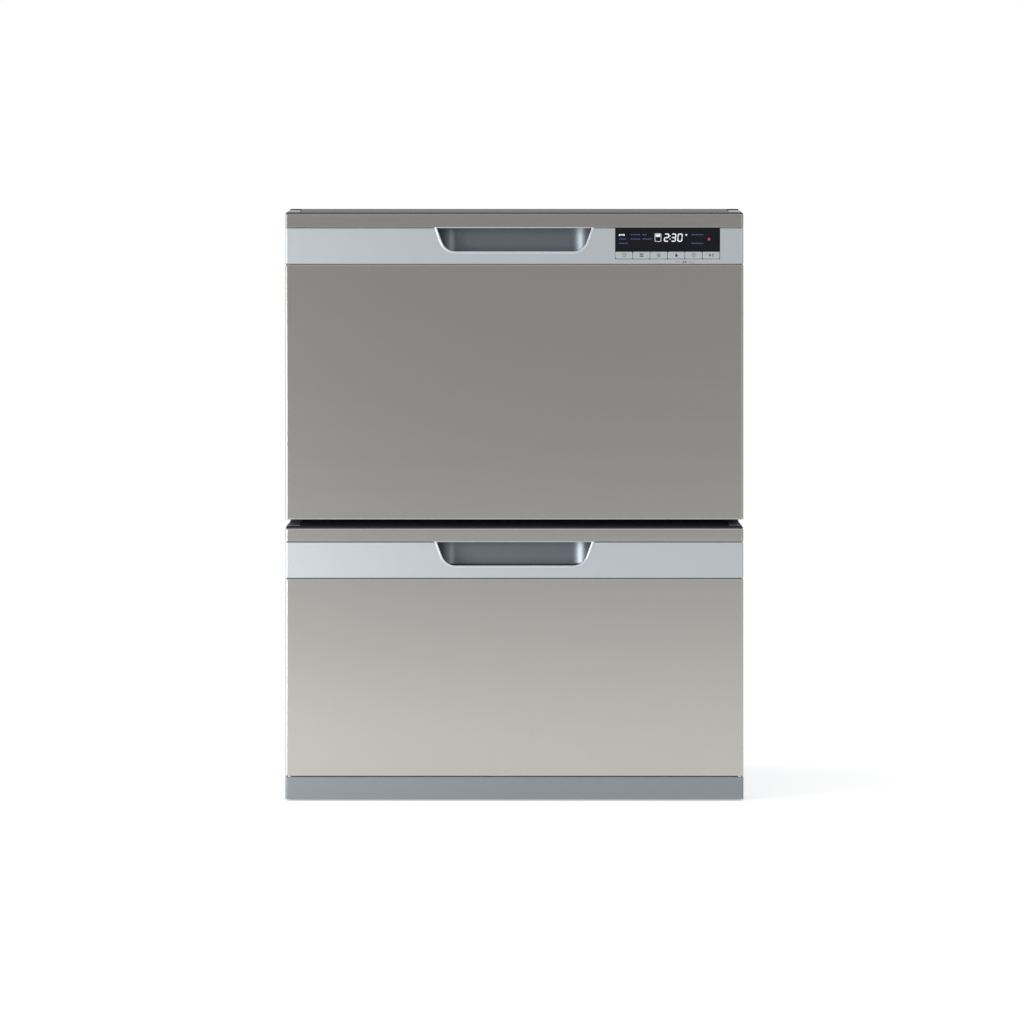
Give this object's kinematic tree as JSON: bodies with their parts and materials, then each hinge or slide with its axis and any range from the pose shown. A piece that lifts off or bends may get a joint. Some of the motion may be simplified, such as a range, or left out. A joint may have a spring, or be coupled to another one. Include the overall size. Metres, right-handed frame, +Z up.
{
  "type": "double dishwasher drawer",
  "caption": "Double dishwasher drawer: stacked steel-fronted wash drawers on telescopic slides in a chassis, with racks, spray arms, lids, controls and feet.",
  "frame": {"origin": "on the floor under the middle of the unit", "axes": "+X to the right seen from the front, +Y from the fronts to the back, +Z up"},
  "size_m": [0.598, 0.573, 0.7756],
  "materials": {
    "steel_front": "horizontal brushed, satin",
    "silver_strip": "satin anodised",
    "silver_rim": "silver metallic coat",
    "dark_cap": "fine texture",
    "dark_frame": "moulded",
    "tub_plastic": "smooth moulded",
    "filter_steel": "perforated",
    "pump_plastic": "moulded",
    "arm_plastic": "moulded",
    "rack_wire": "nylon coated wire",
    "tine_wire": "nylon coated wire",
    "basket_plastic": "moulded",
    "dispenser_plastic": "moulded",
    "slide_steel": "zinc plated",
    "lid_plastic": "smooth moulded",
    "chassis_steel": "galvanised sheet",
    "kick_silver": "silver powder coat",
    "valve_plastic": "moulded",
    "black_plastic": "moulded",
    "display_glass": "dark acrylic",
    "button_silver": "silver satin coat"
  },
  "bodies": {
    "chassis": {"side_panels": "chassis_steel", "back_panel": "chassis_steel", "base_tray": "chassis_steel", "top_panel": "chassis_steel", "cross_rails": "chassis_steel", "kick_strip": "kick_silver", "outer_rails": "slide_steel", "lid_lifters": "black_plastic", "inlet_valve": "valve_plastic", "drain_outlet": "black_plastic", "cord_gland": "black_plastic"},
    "foot_front_left": {"foot_front_left": "black_plastic"},
    "foot_rear_left": {"foot_rear_left": "black_plastic"},
    "foot_front_right": {"foot_front_right": "black_plastic"},
    "foot_rear_right": {"foot_rear_right": "black_plastic"},
    "lower_drawer": {"lower_front_panel": "steel_front", "lower_handle_strip": "silver_strip", "lower_handle_scoop": "silver_rim", "lower_top_strip": "steel_front", "lower_top_cap": "dark_cap", "lower_front_frame": "dark_frame", "lower_tub": "tub_plastic", "lower_filter": "filter_steel", "lower_wash_pump": "pump_plastic", "lower_rack": "rack_wire", "lower_cutlery_basket": "basket_plastic", "lower_dispenser": "dispenser_plastic", "lower_inner_rails": "slide_steel"},
    "lower_spray_arm": {"lower_spray_arm": "arm_plastic"},
    "lower_folding_tines": {"lower_folding_tines": "tine_wire"},
    "lower_cup_shelf": {"lower_cup_shelf": "basket_plastic"},
    "lower_dispenser_flap": {"lower_dispenser_flap": "dispenser_plastic"},
    "lower_middle_rails": {"lower_middle_rails": "slide_steel"},
    "lower_lid": {"lower_lid": "lid_plastic"},
    "upper_drawer": {"upper_front_panel": "steel_front", "upper_handle_strip": "silver_strip", "upper_handle_scoop": "silver_rim", "upper_top_strip": "steel_front", "upper_top_cap": "dark_cap", "upper_front_frame": "dark_frame", "upper_tub": "tub_plastic", "upper_filter": "filter_steel", "upper_wash_pump": "pump_plastic", "upper_rack": "rack_wire", "upper_cutlery_basket": "basket_plastic", "upper_dispenser": "dispenser_plastic", "upper_inner_rails": "slide_steel", "display_window": "display_glass"},
    "upper_spray_arm": {"upper_spray_arm": "arm_plastic"},
    "upper_folding_tines": {"upper_folding_tines": "tine_wire"},
    "upper_cup_shelf": {"upper_cup_shelf": "basket_plastic"},
    "upper_dispenser_flap": {"upper_dispenser_flap": "dispenser_plastic"},
    "upper_middle_rails": {"upper_middle_rails": "slide_steel"},
    "upper_lid": {"upper_lid": "lid_plastic"},
    "button_1": {"button_1": "button_silver"},
    "button_2": {"button_2": "button_silver"},
    "button_3": {"button_3": "button_silver"},
    "button_4": {"button_4": "button_silver"},
    "button_5": {"button_5": "button_silver"},
    "button_6": {"button_6": "button_silver"}
  },
  "joints": [
    {"name": "foot_front_left_screw", "type": "slide", "parent": "chassis", "child": "foot_front_left", "axis": [0, 0, -1], "range_m": [0, 0.06]},
    {"name": "foot_rear_left_screw", "type": "slide", "parent": "chassis", "child": "foot_rear_left", "axis": [0, 0, -1], "range_m": [0, 0.06]},
    {"name": "foot_front_right_screw", "type": "slide", "parent": "chassis", "child": "foot_front_right", "axis": [0, 0, -1], "range_m": [0, 0.06]},
    {"name": "foot_rear_right_screw", "type": "slide", "parent": "chassis", "child": "foot_rear_right", "axis": [0, 0, -1], "range_m": [0, 0.06]},
    {"name": "lower_drawer_slide", "type": "slide", "parent": "chassis", "child": "lower_drawer", "axis": [0, -1, 0], "range_m": [0, 0.49]},
    {"name": "lower_slide_stage", "type": "slide", "parent": "chassis", "child": "lower_middle_rails", "axis": [0, -1, 0], "range_m": [0, 0.245]},
    {"name": "lower_lid_drop", "type": "slide", "parent": "chassis", "child": "lower_lid", "axis": [0, 0, -1], "range_m": [0, 0.005]},
    {"name": "lower_spray_spin", "type": "hinge", "parent": "lower_drawer", "child": "lower_spray_arm", "pos_m": [0, -0.016, 0.126], "axis": [0, 0, 1], "continuous": true},
    {"name": "lower_tines_fold", "type": "hinge", "parent": "lower_drawer", "child": "lower_folding_tines", "pos_m": [0.112, -0.007, 0.15], "axis": [0, 1, 0], "range_deg": [0, 80]},
    {"name": "lower_shelf_fold", "type": "hinge", "parent": "lower_drawer", "child": "lower_cup_shelf", "pos_m": [0.262, -0.007, 0.236], "axis": [0, 1, 0], "range_deg": [0, 80]},
    {"name": "lower_flap_open", "type": "hinge", "parent": "lower_drawer", "child": "lower_dispenser_flap", "pos_m": [-0.02, -0.2185, 0.254], "axis": [-1, 0, 0], "range_deg": [0, 95]},
    {"name": "upper_drawer_slide", "type": "slide", "parent": "chassis", "child": "upper_drawer", "axis": [0, -1, 0], "range_m": [0, 0.49]},
    {"name": "upper_slide_stage", "type": "slide", "parent": "chassis", "child": "upper_middle_rails", "axis": [0, -1, 0], "range_m": [0, 0.245]},
    {"name": "upper_lid_drop", "type": "slide", "parent": "chassis", "child": "upper_lid", "axis": [0, 0, -1], "range_m": [0, 0.005]},
    {"name": "upper_spray_spin", "type": "hinge", "parent": "upper_drawer", "child": "upper_spray_arm", "pos_m": [0, -0.016, 0.5356], "axis": [0, 0, 1], "continuous": true},
    {"name": "upper_tines_fold", "type": "hinge", "parent": "upper_drawer", "child": "upper_folding_tines", "pos_m": [0.112, -0.007, 0.5596], "axis": [0, 1, 0], "range_deg": [0, 80]},
    {"name": "upper_shelf_fold", "type": "hinge", "parent": "upper_drawer", "child": "upper_cup_shelf", "pos_m": [0.262, -0.007, 0.6456], "axis": [0, 1, 0], "range_deg": [0, 80]},
    {"name": "upper_flap_open", "type": "hinge", "parent": "upper_drawer", "child": "upper_dispenser_flap", "pos_m": [-0.02, -0.2185, 0.6636], "axis": [-1, 0, 0], "range_deg": [0, 95]},
    {"name": "button_1_press", "type": "slide", "parent": "upper_drawer", "child": "button_1", "axis": [0, 1, 0], "range_m": [0, 0.0012], "stiffness_N_per_m": 900},
    {"name": "button_2_press", "type": "slide", "parent": "upper_drawer", "child": "button_2", "axis": [0, 1, 0], "range_m": [0, 0.0012], "stiffness_N_per_m": 900},
    {"name": "button_3_press", "type": "slide", "parent": "upper_drawer", "child": "button_3", "axis": [0, 1, 0], "range_m": [0, 0.0012], "stiffness_N_per_m": 900},
    {"name": "button_4_press", "type": "slide", "parent": "upper_drawer", "child": "button_4", "axis": [0, 1, 0], "range_m": [0, 0.0012], "stiffness_N_per_m": 900},
    {"name": "button_5_press", "type": "slide", "parent": "upper_drawer", "child": "button_5", "axis": [0, 1, 0], "range_m": [0, 0.0012], "stiffness_N_per_m": 900},
    {"name": "button_6_press", "type": "slide", "parent": "upper_drawer", "child": "button_6", "axis": [0, 1, 0], "range_m": [0, 0.0012], "stiffness_N_per_m": 900}
  ],
  "couplings": [
    {"joint": "lower_slide_stage", "follows": "lower_drawer_slide", "ratio": 0.5},
    {"joint": "upper_slide_stage", "follows": "upper_drawer_slide", "ratio": 0.5}
  ]
}
